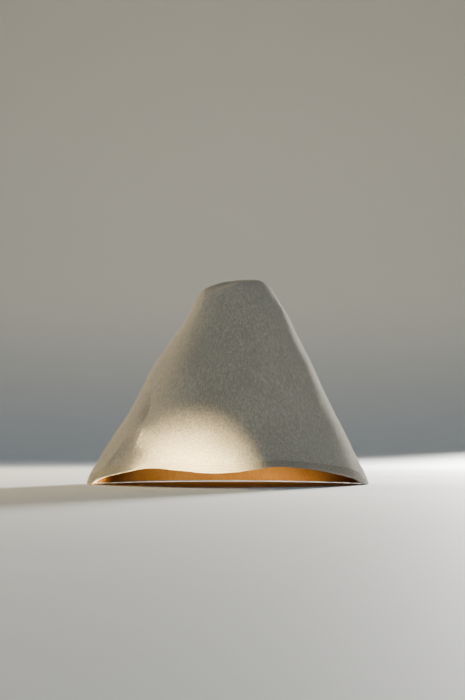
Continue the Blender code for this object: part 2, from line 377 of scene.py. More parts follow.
def wall_mesh(name, rings, first_point, last_point, distances):
    """Quads between rings that follow each other, and a fan of triangles to the point at each end."""
    count, columns = rings.shape[:2]
    points = np.concatenate((rings.reshape(-1, 3), first_point[None, :], last_point[None, :]))
    ring, place, quads = ring_grid(count, columns)
    here = np.arange(columns)
    there = (here + 1) % columns
    top = count * columns
    last = (count - 1) * columns
    first_fan = np.stack((np.full(columns, top), here, there), axis=-1)
    last_fan = np.stack((last + here, np.full(columns, top + 1), last + there), axis=-1)
    piece = add_mesh(name, points, quads.tolist() + first_fan.tolist() + last_fan.tolist())

    across = UV_RADIUS * 2.0 * np.pi / columns
    quad_u = np.stack((place, place, place + 1, place + 1), axis=-1).reshape(-1) * across
    quad_v = np.stack((
        distances[ring], distances[ring + 1], distances[ring + 1], distances[ring],
    ), axis=-1).reshape(-1)
    fan_u = np.stack((here + 0.5, here, here + 1), axis=-1).reshape(-1) * across
    end_u = np.stack((here, here + 0.5, here + 1), axis=-1).reshape(-1) * across
    fan_v = np.full(columns * 3, distances[0])
    end_v = np.full(columns * 3, distances[-1])
    uv = np.stack((
        np.concatenate((quad_u, fan_u, end_u)), np.concatenate((quad_v, fan_v, end_v)),
    ), axis=-1)
    layer = piece.data.uv_layers.new(name="felt_map")
    layer.data.foreach_set("uv", uv.ravel())
    print(f"{name}: {len(points)} points, {len(quads) * 2 + columns * 2} triangles.")
    return piece


# %% [markdown]
# ## The felt shell
# The edge is cut by hand through felt 2.4 mm thick and is a little rounded by wear. It is two short curves
# with a level strip between them. Its unevenness stands up to 0.6 mm above a clean cut and never reaches
# below the floor. Rows of stitches pull shallow grooves into the lowest 13 mm, so the rings of the mesh
# are closest together there.

# %% Sizes of the felt shell
FELT_WALL = 0.0024
EDGE_ROUND = 0.0008
EDGE_RINGS = 5
SEAM_FIRST = 0.0028
SEAM_PITCH = 0.0021
SEAM_ROWS = 5
SEAM_SINK = 0.00042
SEAM_SPREAD = 0.00050
SWELL = 0.00030
SWELL_START = 0.012
SWELL_FALL = 0.93
SWELL_FORM = Unevenness(seed=3, rounds=26, steps=9.0, waves=40)
EDGE_RAGGED = 0.0006
EDGE_FADE = 0.0075
EDGE_FORM = Unevenness(seed=21, rounds=110, steps=1.0, waves=60)

seam_lines = SEAM_FIRST + SEAM_PITCH * np.arange(SEAM_ROWS)
print(f"The last row of stitches lies {seam_lines[-1] * 1000:.1f} mm from the edge.")

# %% The faces and the edge of the felt


def seam_grooves(distance):
    """How deep the stitch rows pull the felt in: one narrow bell for each row."""
    across = (distance[..., None] - seam_lines) / SEAM_SPREAD
    return SEAM_SINK * np.exp(-across ** 2).sum(axis=-1)


def ragged_lift(turn, distance):
    """How far the hand-cut edge stands above a clean cut; it fades out up the felt."""
    teeth = 0.5 + 0.5 * uneven(turn, np.zeros_like(turn), EDGE_FORM)
    return EDGE_RAGGED * np.clip(teeth, 0.0, 1.0) * smooth_step(EDGE_FADE, 0.0, distance)


def felt_face(turn, distance, depth=0.0):
    """A point of the felt at a distance from its edge and a depth under its worn outer face."""
    along = np.clip(distance / FELT_LENGTH, 0.0, 1.0)
    points = outer_face(turn, along)
    points[..., 2] += ragged_lift(turn, distance)
    normals = face_normals(turn, along)
    swell = SWELL * uneven(turn, along, SWELL_FORM) * smooth_step(0.0, SWELL_START, distance)
    swell = swell * smooth_step(1.0, SWELL_FALL, along)
    sink = seam_grooves(distance) * np.ones_like(turn)
    return points + normals * (swell - sink * (depth == 0.0) - depth)[..., None]


def edge_ring(turn, depth):
    """The edge moved in level by depth * n / (n . n), where n is the level part of the normal."""
    place = np.zeros((1, 1))
    points = outer_face(turn, place)
    level = face_normals(turn, place)[..., :2]
    points[..., 2] += ragged_lift(turn, place)
    points[..., :2] -= depth * level / np.sum(level ** 2, axis=-1, keepdims=True)
    return points


def bend_between(start, corner, end):
    """Rings along a quadratic curve from start to end, drawn towards the corner."""
    t = np.linspace(0.0, 1.0, EDGE_RINGS)[:, None, None]
    return (1.0 - t) ** 2 * start + 2.0 * t * (1.0 - t) * corner + t ** 2 * end


# %% The rings of the felt
SHELL_COLUMNS = 440
HEM_FINE = 0.0128
HEM_STEP = 0.00035
BODY_STEP = 0.0021
TIP_FINE = 0.2150
TIP_STEP = 0.0012
TIP_STOP = 0.0006
PLAIN_START = 0.004
INSIDE_RINGS = 30
SETTLE_START = 0.86
SETTLE_FULL = 0.92
SETTLE_ROUNDS = 8


def plain_distances(first, length, count):
    """Distances up a face that has no fine relief: the first one, then even steps to the tip."""
    return np.concatenate(([first], np.linspace(PLAIN_START, length, count)[:-1]))


def felt_rings(turn, outer_distances, inner_distances):
    """All rings of the felt, down its outer face, round its edge and up its inner face."""
    outside = felt_face(turn, outer_distances[::-1, None])
    inside = felt_face(turn, inner_distances[:, None], FELT_WALL)
    corner_out = edge_ring(turn, 0.0)
    corner_in = edge_ring(turn, FELT_WALL)
    inward = corner_in - corner_out
    inward = inward / np.linalg.norm(inward, axis=-1, keepdims=True)
    strip_out = corner_out + inward * EDGE_ROUND
    strip_in = corner_in - inward * EDGE_ROUND
    first = bend_between(outside[-1:], corner_out, strip_out)[1:]
    second = bend_between(strip_in, corner_in, inside[:1])[:-1]
    rings = np.concatenate((outside, first, second, inside))
    rings[..., 2] = np.maximum(rings[..., 2], 0.0)
    distances = np.concatenate((
        outer_distances[::-1], np.linspace(EDGE_ROUND, 0.0, EDGE_RINGS)[1:],
        np.linspace(0.0, -EDGE_ROUND, EDGE_RINGS)[:-1], -inner_distances,
    ))
    return rings, distances


def settle_tip(rings, distances):
    """Near the tip each ring moves to the mean of itself, twice, and its two neighbours, again and again."""
    near_tip = smooth_step(SETTLE_START, SETTLE_FULL, np.abs(distances) / FELT_LENGTH)
    share = 0.5 * near_tip[1:-1, None, None]
    for _ in range(SETTLE_ROUNDS):
        inner = rings[1:-1]
        rings[1:-1] = inner * (1.0 - share) + (rings[:-2] + rings[2:]) * share / 2.0
    return rings


outer_distances = np.concatenate((
    np.arange(EDGE_ROUND, HEM_FINE, HEM_STEP),
    np.arange(HEM_FINE, TIP_FINE, BODY_STEP),
    np.arange(TIP_FINE, FELT_LENGTH - TIP_STOP, TIP_STEP),
))
inner_distances = plain_distances(EDGE_ROUND, FELT_LENGTH, INSIDE_RINGS)
print(f"The felt has {len(outer_distances)} rings outside and {len(inner_distances)} inside.")

# %% Make the felt shell
shell_rings, shell_distances = felt_rings(
    full_turn(SHELL_COLUMNS)[None, :], outer_distances, inner_distances
)
shell_rings = settle_tip(shell_rings, shell_distances)
tip_outside = outer_face(np.zeros(1), np.ones(1))[0]
tip_inside = tip_outside - np.array((0.0, 0.0, FELT_WALL))
felt_shell = wall_mesh("felt_body", shell_rings, tip_outside, tip_inside, shell_distances)

# %% [markdown]
# ## The lining
# The ochre lining is cut to the same cone and sewn in at the hem. Its face follows the felt with a small
# gap. Cloth on felt creeps into faint upright ripples, which only go inwards, so that it never reaches
# into the felt. Its edge ends two millimetres short, and the felt shows as a cream line beyond it.

# %% Make the lining
LINING_GAP = 0.0003
LINING_WALL = 0.0012
LINING_SETBACK = 0.0020
LINING_ROUND = 0.0005
LINING_COLUMNS = 330
LINING_FINE = 0.012
LINING_STEP = 0.0006
LINING_BACK_RINGS = 40
LINING_FRONT_RINGS = 90
RIPPLE = 0.00035
RIPPLE_START = 0.02
RIPPLE_FALL = 0.9
RIPPLE_FORM = Unevenness(seed=11, rounds=60, steps=3.0, waves=40)


def lining_face(turn, distance, depth):
    """A point of the lining: the felt's plain form at a depth, rippled on its inner side."""
    along = np.clip((distance + LINING_SETBACK) / FELT_LENGTH, 0.0, 1.0)
    points = outer_face(turn, along)
    normals = face_normals(turn, along)
    inner_side = 1.0 if depth > FELT_WALL + LINING_GAP + LINING_WALL / 2.0 else 0.0
    ripple = RIPPLE * (1.0 + uneven(turn, along, RIPPLE_FORM)) * smooth_step(0.0, RIPPLE_START, distance)
    ripple = ripple * smooth_step(1.0, RIPPLE_FALL, along) * inner_side
    return points - normals * (depth + ripple)[..., None]


def lining_rings(turn, back, front):
    """The lining's rings: its edge is the felt's edge drawn up the wall by the setback."""
    outer_depth = FELT_WALL + LINING_GAP
    outside = lining_face(turn, back[::-1, None], outer_depth)
    inside = lining_face(turn, front[:, None], outer_depth + LINING_WALL)
    corner_out = lining_face(turn, np.zeros((1, 1)), outer_depth)
    corner_in = lining_face(turn, np.zeros((1, 1)), outer_depth + LINING_WALL)
    middle = (corner_out + corner_in) / 2.0
    first = bend_between(outside[-1:], corner_out, middle)[1:]
    second = bend_between(middle, corner_in, inside[:1])[1:-1]
    distances = np.concatenate((
        back[::-1], np.linspace(LINING_ROUND, 0.0, EDGE_RINGS)[1:],
        np.linspace(0.0, LINING_ROUND, EDGE_RINGS)[1:-1], front,
    ))
    return np.concatenate((outside, first, second, inside)), distances


lining_length = FELT_LENGTH - LINING_SETBACK
lining_back = plain_distances(LINING_ROUND, lining_length, LINING_BACK_RINGS)
lining_front = np.concatenate((
    np.arange(LINING_ROUND, LINING_FINE, LINING_STEP),
    np.linspace(LINING_FINE, lining_length, LINING_FRONT_RINGS)[:-1],
))
rings, distances = lining_rings(full_turn(LINING_COLUMNS)[None, :], lining_back, lining_front)
lining_top = tip_outside - np.array((0.0, 0.0, FELT_WALL + LINING_GAP))
lining_tip = lining_top - np.array((0.0, 0.0, LINING_WALL))
lining = wall_mesh("hat_lining", rings, lining_top, lining_tip, distances)

# %% [markdown]
# ## Topstitching
# Five rows of machine stitches run round the hem and hold the felt and the lining together, so the same
# rows show on the lining side in ochre thread. Bump alone would vanish at the edge of the hat, so each
# stitch is a small mesh: a tube of six sides that rises out of the cloth and dives back in. A row is
# worked out as one array, spaced by its own real length.

# %% The form of a stitch
STITCH_LENGTH = 0.0023
STITCH_SPACE = 0.0007
STITCH_STRAY = 0.06
STITCH_SHORTEST = 0.92
STITCH_LONGEST = 1.06
STITCH_DRIFT = 0.00004
STITCH_RADIUS = 0.00020
STITCH_END = 0.35
STITCH_CLOSED = 0.02
STITCH_ARCH = 0.00018
STITCH_LIFT = 0.00008
STITCH_RINGS = 6
STITCH_SIDES = 6
ROW_SAMPLES = 6000


def row_curve(face, distance, depth):
    """Points, outward normals and running length of the row at a distance from the edge."""
    turn = np.linspace(0.0, 2.0 * np.pi, ROW_SAMPLES)
    points = face(turn, np.full(ROW_SAMPLES, distance), depth)
    normals = face_normals(turn, np.full(ROW_SAMPLES, distance / FELT_LENGTH))
    steps = np.linalg.norm(np.diff(points, axis=0), axis=-1)
    return points, normals, np.concatenate(([0.0], np.cumsum(steps)))


def read_at(running, values, at):
    """Values of a curve, each coordinate on its own, at given running lengths."""
    return np.stack([np.interp(at, running, values[:, k]) for k in range(3)], axis=-1)


def unit(vectors):
    """Vectors scaled to a length of one."""
    return vectors / np.linalg.norm(vectors, axis=-1, keepdims=True)


def stitch_row(face, distance, depth, outward, seed):
    """Points of every stitch in a row: (stitch, ring, side, xyz).

    The centre line is the row's curve plus the normal times lift + arch * (sin(pi s) - 1/2). The radius
    goes with the root of sin(pi s), and is full in the middle and about half at both ends.
    """
    draw = np.random.default_rng(seed)
    points, normals, running = row_curve(face, distance, depth)
    count = int(running[-1] / (STITCH_LENGTH + STITCH_SPACE))
    start = np.arange(count) * running[-1] / count
    start = start + draw.uniform(-STITCH_STRAY, STITCH_STRAY, count) * STITCH_LENGTH
    length = STITCH_LENGTH * draw.uniform(STITCH_SHORTEST, STITCH_LONGEST, count)
    s = np.linspace(0.0, 1.0, STITCH_RINGS)
    at = (start[:, None] + length[:, None] * s) % running[-1]
    centre = read_at(running, points, at)
    normal = unit(read_at(running, normals, at)) * outward
    ahead = unit(read_at(running, points, (at + STITCH_RADIUS) % running[-1]) - centre)
    across = np.cross(normal, ahead)
    rise = STITCH_LIFT + STITCH_ARCH * (np.sin(np.pi * s) - 0.5)
    fullness = np.sqrt(np.sin(np.pi * np.clip(s, STITCH_CLOSED, 1.0 - STITCH_CLOSED)))
    radius = STITCH_RADIUS * (STITCH_END + (1.0 - STITCH_END) * fullness)
    drift = draw.normal(0.0, STITCH_DRIFT, count)
    centre = centre + normal * rise[None, :, None] + across * drift[:, None, None]
    angle = full_turn(STITCH_SIDES)
    ring = (
        normal[:, :, None, :] * np.cos(angle)[None, None, :, None]
        + across[:, :, None, :] * np.sin(angle)[None, None, :, None]
    )
    return centre[:, :, None, :] + ring * radius[None, :, None, None]


# %% Make the stitches
OUTER_SEED = 100
INNER_SEED = 200


def stitches(name, face, row_distances, depth, outward, first_seed):
    """One piece of closed tubes, with a flat cap at both ends of each, for all rows on one face."""
    tubes = np.concatenate([
        stitch_row(face, distance, depth, outward, first_seed + row)
        for row, distance in enumerate(row_distances)
    ])
    count, rings_each, sides = tubes.shape[:3]
    base = np.arange(count)[:, None, None] * rings_each * sides
    quads = (base + ring_grid(rings_each, sides)[2][None, :, :]).reshape(-1, 4)
    start_cap = base[:, 0] + np.arange(sides)[None, :]
    end_cap = base[:, 0] + (rings_each - 1) * sides + np.arange(sides)[None, ::-1]
    piece = add_mesh(name, tubes, quads.tolist() + start_cap.tolist() + end_cap.tolist())
    print(f"{name}: {count} stitches, {len(quads) * 2 + count * (sides - 2) * 2} triangles.")
    return piece


outer_stitches = stitches("hem_stitches", felt_face, seam_lines, 0.0, 1.0, OUTER_SEED)
inner_stitches = stitches(
    "lining_stitches", lining_face, seam_lines - LINING_SETBACK,
    FELT_WALL + LINING_GAP + LINING_WALL, -1.0, INNER_SEED,
)

# %% [markdown]
# ## Loose wool
# The nap of felt is a thin layer of bent fibres that stand off its face. They soften the outline and catch
# light at a grazing angle. Hair particles would be lost in the export, so each fibre is a three-sided
# sliver with one bend and a pointed end. They are strewn evenly over the cone and left out near the floor.

# %% Make the loose wool
WOOL_COUNT = 18500
WOOL_LAYERS = 2
WOOL_SEED = 40
WOOL_LOWEST = 0.004
WOOL_HIGHEST = 0.995
WOOL_LONGEST = 0.0030
WOOL_SHORTEST = 0.0012
WOOL_RADIUS = 0.000055
WOOL_SIDES = 3
WOOL_ROOT = 2.0
WOOL_TAPER = 0.8
WOOL_FLATTEST = 0.15
WOOL_STEEPEST = 0.9
WOOL_SWERVE = 0.5
WOOL_LEAN = 0.35
WOOL_FLOOR_GAP = 0.0004
WOOL_FACES = (
    (0, 3, 4, 1), (1, 4, 5, 2), (2, 5, 3, 0), (3, 6, 4), (4, 6, 5), (5, 6, 3), (0, 1, 2),
)
UPRIGHT = np.array((0.0, 0.0, 1.0))
NOT_ZERO = 1e-9


def wool_fibres(seed):
    """Fibres as (fibre, point, xyz): two triangles and a tip, along a line with one bend.

    Roots lie at 1 - sqrt(random) of the way along the felt, which is even over a cone. The first half
    leaves at a slant, and the second half leans back towards the cloth and swerves to one side.
    """
    draw = np.random.default_rng(seed)
    turn = draw.uniform(-np.pi, np.pi, WOOL_COUNT)
    along = 1.0 - np.sqrt(draw.uniform(0.0, 1.0, WOOL_COUNT))
    along = np.clip(along, WOOL_LOWEST, WOOL_HIGHEST)
    root = felt_face(turn, along * FELT_LENGTH)
    normal = face_normals(turn, along)
    level = unit(np.cross(normal, UPRIGHT) + NOT_ZERO)
    heading = draw.uniform(0.0, 2.0 * np.pi, WOOL_COUNT)[:, None]
    aside = level * np.cos(heading) + np.cross(level, normal) * np.sin(heading)
    slant = draw.uniform(WOOL_FLATTEST, WOOL_STEEPEST, WOOL_COUNT)[:, None]
    length = draw.uniform(WOOL_SHORTEST, WOOL_LONGEST, WOOL_COUNT)[:, None]
    first = unit(aside + normal * slant)
    swerve = draw.normal(0.0, WOOL_SWERVE, (WOOL_COUNT, 1))
    second = unit(aside + np.cross(normal, aside) * swerve + normal * slant * WOOL_LEAN)
    middle = root + first * length * 0.5
    tip = middle + second * length * 0.5
    across = unit(np.cross(first, normal))
    over = np.cross(across, first)
    angle = full_turn(WOOL_SIDES)
    ring = across[:, None, :] * np.cos(angle)[:, None] + over[:, None, :] * np.sin(angle)[:, None]
    start = root - normal * WOOL_RADIUS * WOOL_ROOT
    fibres = np.concatenate((
        start[:, None, :] + ring * WOOL_RADIUS,
        middle[:, None, :] + ring * WOOL_RADIUS * WOOL_TAPER,
        tip[:, None, :],
    ), axis=1)
    clear = fibres[..., 2].min(axis=1) > WOOL_FLOOR_GAP
    return fibres[clear]


def wool_layer(name, seed):
    """One piece of loose wool, whose faces repeat the same seven for each fibre."""
    fibres = wool_fibres(seed)
    base = np.arange(len(fibres)) * fibres.shape[1]
    faces = []
    for face in WOOL_FACES:
        faces += (base[:, None] + np.array(face)[None, :]).tolist()
    piece = add_mesh(name, fibres, faces)
    triangles = len(fibres) * sum(len(face) - 2 for face in WOOL_FACES)
    print(f"{name}: {len(fibres)} fibres, {triangles} triangles.")
    return piece


wool_layers = [
    wool_layer(f"loose_wool_{layer + 1}", WOOL_SEED + layer) for layer in range(WOOL_LAYERS)
]

# %% [markdown]
# ## Shader maths
# A finish is a sum of masks and noises. Written as node calls it is unreadable, so one small class wraps
# a socket and turns Python's operators into Math nodes. Every other node comes from a single method.

# %% A socket that can be used in sums


class Wire:
    """One value of a finish. Each operator adds the Math node of its name."""

    def __init__(self, finish, socket):
        self.finish = finish
        self.socket = socket

    def math(self, operation, *values):
        """A Math node on the values, which is itself a value."""
        return self.finish.node("ShaderNodeMath", "Value", {"operation": operation}, values)

    def __add__(self, other):
        return self.math("ADD", self, other)

    def __sub__(self, other):
        return self.math("SUBTRACT", self, other)

    def __rsub__(self, other):
        return self.math("SUBTRACT", other, self)

    def __mul__(self, other):
        return self.math("MULTIPLY", self, other)

    def __truediv__(self, other):
        return self.math("DIVIDE", self, other)

    def wave(self):
        """The sine of the value."""
        return self.math("SINE", self)

    def size(self):
        """The value without its sign."""
        return self.math("ABSOLUTE", self)

    def nearest(self):
        """The whole number next to the value."""
        return self.math("ROUND", self)

    def between(self, low, high):
        """0 at low, 1 at high and smooth between them; low may be the larger one."""
        return self.finish.node(
            "ShaderNodeMapRange", "Result", {"interpolation_type": "SMOOTHSTEP"},
            {"Value": self, "From Min": low, "From Max": high, "To Min": 0.0, "To Max": 1.0},
        )


class Finish:
    """A material that is put together from nodes around one Principled shader."""

    def __init__(self, name):
        self.material = bpy.data.materials.new(name)
        self.material.use_nodes = True
        self.tree = self.material.node_tree
        self.shader = self.tree.nodes["Principled BSDF"]

    def feed(self, socket, value):
        """A link from a value, or a plain number or colour, into one socket."""
        if isinstance(value, Wire):
            self.tree.links.new(value.socket, socket)
        else:
            socket.default_value = value

    def node(self, kind, output, settings=None, inputs=()):
        """A node: its settings first, then its sockets by name or in order; one output comes back."""
        node = self.tree.nodes.new(kind)
        for name, value in (settings or {}).items():
            setattr(node, name, value)
        if isinstance(inputs, dict):
            sockets = {socket.name: socket for socket in node.inputs if socket.enabled}
            for name, value in inputs.items():
                self.feed(sockets[name], value)
        else:
            for socket, value in zip(node.inputs, inputs):
                self.feed(socket, value)
        outputs = {socket.name: socket for socket in node.outputs if socket.enabled}
        return Wire(self, outputs[output])

    def place(self, stretch=(1.0, 1.0, 1.0), turned=(0.0, 0.0, 0.0)):
        """Object coordinates in metres, stretched and turned."""
        here = self.node("ShaderNodeTexCoord", "Object")
        return self.node("ShaderNodeMapping", "Vector", {}, {
            "Vector": here, "Rotation": turned, "Scale": stretch,
        })

    def chart(self, name, axis):
        """One coordinate of a UV map, in metres."""
        flat = self.node("ShaderNodeUVMap", "UV", {"uv_map": name})
        return self.node("ShaderNodeSeparateXYZ", axis, {}, {"Vector": flat})

    def noise(self, place, grain):
        """Fractal noise from 0 to 1, with so many lumps in each metre."""
        return self.node("ShaderNodeTexNoise", "Fac", {}, {
            "Vector": place, "Scale": grain.lumps, "Detail": grain.detail, "Roughness": grain.roughness,
        })

    def blend(self, share, first, second):
        """A colour between two others."""
        return self.node("ShaderNodeMix", "Result", {"data_type": "RGBA"}, {
            "Factor": share, "A": first, "B": second,
        })

    def colour(self, value):
        """The finish's own colour."""
        self.feed(self.shader.inputs["Base Color"], value)

    def relief(self, height, depth):
        """A height from 0 to 1 that stands for a depth in metres, as a bent normal."""
        bent = self.node("ShaderNodeBump", "Normal", {}, {
            "Height": height, "Distance": depth, "Strength": 1.0,
        })
        self.feed(self.shader.inputs["Normal"], bent)

    def constants(self, values):
        """What is the same all over goes straight onto the shader's own sockets."""
        for name, value in values.items():
            self.shader.inputs[name].default_value = value


Grain = namedtuple("Grain", "lumps detail roughness")


def rgba(red, green, blue):
    """A screen colour, 0 to 255, as the linear colour that shaders take."""
    screen = np.array((red, green, blue)) / 255.0
    linear = np.where(screen <= 0.04045, screen / 12.92, ((screen + 0.055) / 1.055) ** 2.4)
    return (*linear.tolist(), 1.0)


# %% [markdown]
# ## Felt
# Wool felt is matt and nappy. Close up it is a mat of fine fibres, from further off it is faintly mottled,
# and fine upright lines of the cloth under the nap still show. The colour is an off-white with a random
# mottle. It is painted darker where the tufts are low and paler where they stand high, which is painted
# shade and painted highlight. Sheen gives the light that short fibres catch at a grazing angle.
#
# Near the hem the UV map takes over: the cut edge has a painted highlight, each row of stitches lies in a
# groove painted with shade between ridges with painted highlights, and the cloth puckers between the
# stitches, where the painted shade of the groove is lighter.

# %% Values of the felt finish
FELT_PALE_AND_HIGHLIGHT = rgba(238, 235, 226)
FELT_MEAN = rgba(222, 218, 207)
FELT_DARK_MOTTLE_AND_SHADE = rgba(188, 184, 172)
FELT_GROOVE_SHADE = rgba(106, 99, 84)
FELT_SHEEN = rgba(255, 248, 230)
NAP_DEPTH = 0.0028

CLOUDS = Grain(26.0, 3.0, 0.55)
TUFTS = Grain(900.0, 3.0, 0.7)
FIBRES = Grain(1900.0, 2.0, 0.7)
LINES = Grain(620.0, 1.0, 0.5)
PUCKERS = Grain(430.0, 1.0, 0.5)
TUFT_STRETCH = (1.0, 1.0, 0.50)
FIBRE_STRETCH = (1.0, 0.4, 1.0)
FIBRE_TURN = (0.3, 0.5, 0.2)
LINE_STRETCH = (1.0, 1.0, 0.04)
PUCKER_STRETCH = (1.0, 0.35, 1.0)

CLOUD_SHARE = 0.4
TUFT_SHARE = 0.7
FIBRE_SHARE = 0.4
TONE_RANGE = (0.84, 1.66)
PALE_RANGE = (0.45, 1.0)
PALE_SHARE = 0.8

BAND_OUTSIDE = 0.6
BAND_INSIDE = 0.4
GROOVE_RANGE = (0.36, 0.10)
GROOVE_SHADE_SHARE = 0.9
RIDGE_HIGHLIGHT_RANGE = (0.22, 0.45)
RIDGE_HIGHLIGHT_SHARE = 0.7
PUCKER_RANGE = (0.35, 0.85)
PUCKER_SHARE = 0.5
EDGE_HIGHLIGHT_RANGE = (0.0017, 0.00102)
EDGE_HIGHLIGHT_SHARE = 0.75
NAP_FIBRES = 0.6
NAP_LINES = 0.5
NAP_SEAM = 0.6
print(f"The shaded grooves lie {SEAM_PITCH * 1000:.1f} mm apart.")

# %% The felt finish


def felt_finish():
    """Cream wool felt: tone from clouds, tufts, fibres and lines; the hem from the UV map."""
    felt = Finish("cream_wool_felt")
    clouds = felt.noise(felt.place(), CLOUDS)
    tufts = felt.noise(felt.place(TUFT_STRETCH), TUFTS)
    fibres = felt.noise(felt.place(FIBRE_STRETCH, FIBRE_TURN), FIBRES)
    lines = felt.noise(felt.place(LINE_STRETCH), LINES)
    # The tone is partly a random mottle from the clouds and partly painted shade and highlight: it follows
    # the tufts of the bump, darker where they are low and paler where they are high.
    tone = clouds * CLOUD_SHARE + tufts * TUFT_SHARE + fibres * FIBRE_SHARE + lines
    tone = tone.between(*TONE_RANGE)
    colour = felt.blend(tone, FELT_DARK_MOTTLE_AND_SHADE, FELT_MEAN)
    colour = felt.blend(tone.between(*PALE_RANGE) * PALE_SHARE, colour, FELT_PALE_AND_HIGHLIGHT)

    from_edge = felt.chart("felt_map", "Y")
    row = (from_edge - SEAM_FIRST) / SEAM_PITCH
    off_row = (row - row.nearest()).size()
    first_row = row.between(-BAND_OUTSIDE, -BAND_INSIDE)
    in_band = first_row * row.between(SEAM_ROWS - BAND_INSIDE, SEAM_ROWS - BAND_OUTSIDE)
    groove = off_row.between(*GROOVE_RANGE) * in_band
    pucker = felt.noise(felt.node("ShaderNodeMapping", "Vector", {}, {
        "Vector": felt.node("ShaderNodeUVMap", "UV", {"uv_map": "felt_map"}),
        "Scale": PUCKER_STRETCH,
    }), PUCKERS)
    # Painted highlight: the ridges of felt between the stitch rows are painted paler.
    colour = felt.blend(off_row.between(*RIDGE_HIGHLIGHT_RANGE) * in_band * RIDGE_HIGHLIGHT_SHARE, colour, FELT_PALE_AND_HIGHLIGHT)
    # Painted shade: each stitch groove is painted darker, less so where the cloth puckers.
    unpuckered = 1.0 - pucker.between(*PUCKER_RANGE) * PUCKER_SHARE
    colour = felt.blend(groove * unpuckered * GROOVE_SHADE_SHARE, colour, FELT_GROOVE_SHADE)
    # Painted highlight: the cut edge is painted lighter where it catches the light.
    edge_highlight = from_edge.size().between(*EDGE_HIGHLIGHT_RANGE)
    colour = felt.blend(edge_highlight * EDGE_HIGHLIGHT_SHARE, colour, FELT_PALE_AND_HIGHLIGHT)
    felt.colour(colour)

    nap = tufts + fibres * NAP_FIBRES + lines * NAP_LINES
    felt.relief(nap + (pucker * NAP_SEAM - groove * NAP_SEAM) * in_band, NAP_DEPTH)
    felt.constants({
        "Roughness": 0.95, "Metallic": 0.0, "Specular IOR Level": 0.15, "Diffuse Roughness": 1.0,
        "Sheen Weight": 1.0, "Sheen Roughness": 0.34, "Sheen Tint": FELT_SHEEN,
    })
    return felt.material


# %% [markdown]
# ## Thread and loose wool
# Thread and single fibres are too thin to show a pattern. One fine noise varies their tone a little.

# %% The finish of thread and wool
Yarn = namedtuple("Yarn", "name light dark lumps")
# The cream thread is painted darker than the felt, which is painted shade of the grooves that it lies in.
CREAM_THREAD_IN_SHADE = Yarn("cream_thread", rgba(186, 174, 150), rgba(150, 139, 117), 2400.0)
OCHRE_THREAD = Yarn("ochre_thread", rgba(206, 142, 52), rgba(168, 106, 30), 2400.0)
LOOSE_WOOL = Yarn("loose_wool", rgba(244, 238, 224), rgba(222, 214, 196), 300.0)
YARN_DETAIL = 2.0
YARN_ROUGHNESS = 0.6
YARN_RANGE = (0.3, 0.7)


def yarn_finish(yarn):
    """Spun or loose wool: one noise for its tone, and nearly the same soft shader as felt."""
    wool = Finish(yarn.name)
    tone = wool.noise(wool.place(), Grain(yarn.lumps, YARN_DETAIL, YARN_ROUGHNESS))
    wool.colour(wool.blend(tone.between(*YARN_RANGE), yarn.dark, yarn.light))
    wool.constants({
        "Roughness": 0.9, "Metallic": 0.0, "Specular IOR Level": 0.2, "Diffuse Roughness": 1.0,
        "Sheen Weight": 0.25,
    })
    return wool.material


# %% [markdown]
# ## Lining cloth
# The lining is a plain ochre cloth. Its weave is finer than a pixel from where the camera stands, so two
# crossed waves on the UV map stand for warp and weft, with a slow noise for the unevenness of the dye.

# %% The lining finish
OCHRE_LIGHT = rgba(202, 139, 50)
OCHRE_DARK = rgba(164, 103, 30)
THREAD_WIDTH = 0.00045
DYE = Grain(30.0, 3.0, 0.5)
SLUBS = Grain(620.0, 3.0, 0.6)
SLUB_STRETCH = (1.0, 1.0, 0.2)
DYE_SHARE = 0.6
SLUB_SHARE = 0.6
WEAVE_SHARE = 0.2
CLOTH_RANGE = (0.45, 0.95)
CLOTH_DEPTH = 0.0003


def lining_finish():
    """Ochre cloth: the product of two sine waves for warp and weft, over a slow change of tone."""
    cloth = Finish("ochre_lining_cloth")
    wave_rate = np.pi / THREAD_WIDTH
    weave = (cloth.chart("felt_map", "X") * wave_rate).wave()
    weave = weave * (cloth.chart("felt_map", "Y") * wave_rate).wave() * 0.5 + 0.5
    dye = cloth.noise(cloth.place(), DYE)
    slubs = cloth.noise(cloth.place(SLUB_STRETCH), SLUBS)
    tone = (dye * DYE_SHARE + slubs * SLUB_SHARE + weave * WEAVE_SHARE).between(*CLOTH_RANGE)
    cloth.colour(cloth.blend(tone, OCHRE_DARK, OCHRE_LIGHT))
    cloth.relief(weave * 0.5 + slubs * 0.5, CLOTH_DEPTH)
    cloth.constants({
        "Roughness": 0.85, "Metallic": 0.0, "Specular IOR Level": 0.2, "Diffuse Roughness": 0.8,
        "Sheen Weight": 0.2,
    })
    return cloth.material


# %% Dress the pieces


def dress(piece, finish):
    """Gives a piece its finish and slot, and lets it ride on the hat's one body."""
    piece.data.materials.append(finish)
    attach(piece, "root")


felt_look = felt_finish()
ochre_thread_look = yarn_finish(OCHRE_THREAD)
shaded_cream_thread_look = yarn_finish(CREAM_THREAD_IN_SHADE)
fibre_look = yarn_finish(LOOSE_WOOL)
lining_look = lining_finish()
dress(felt_shell, felt_look)
dress(lining, lining_look)
dress(outer_stitches, shaded_cream_thread_look)
dress(inner_stitches, ochre_thread_look)
for layer in wool_layers:
    dress(layer, fibre_look)
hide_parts("felt_shell")
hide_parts("lining")
print("Finishes:", ", ".join(look.name for look in (
    felt_look, shaded_cream_thread_look, fibre_look, lining_look, ochre_thread_look,
)))

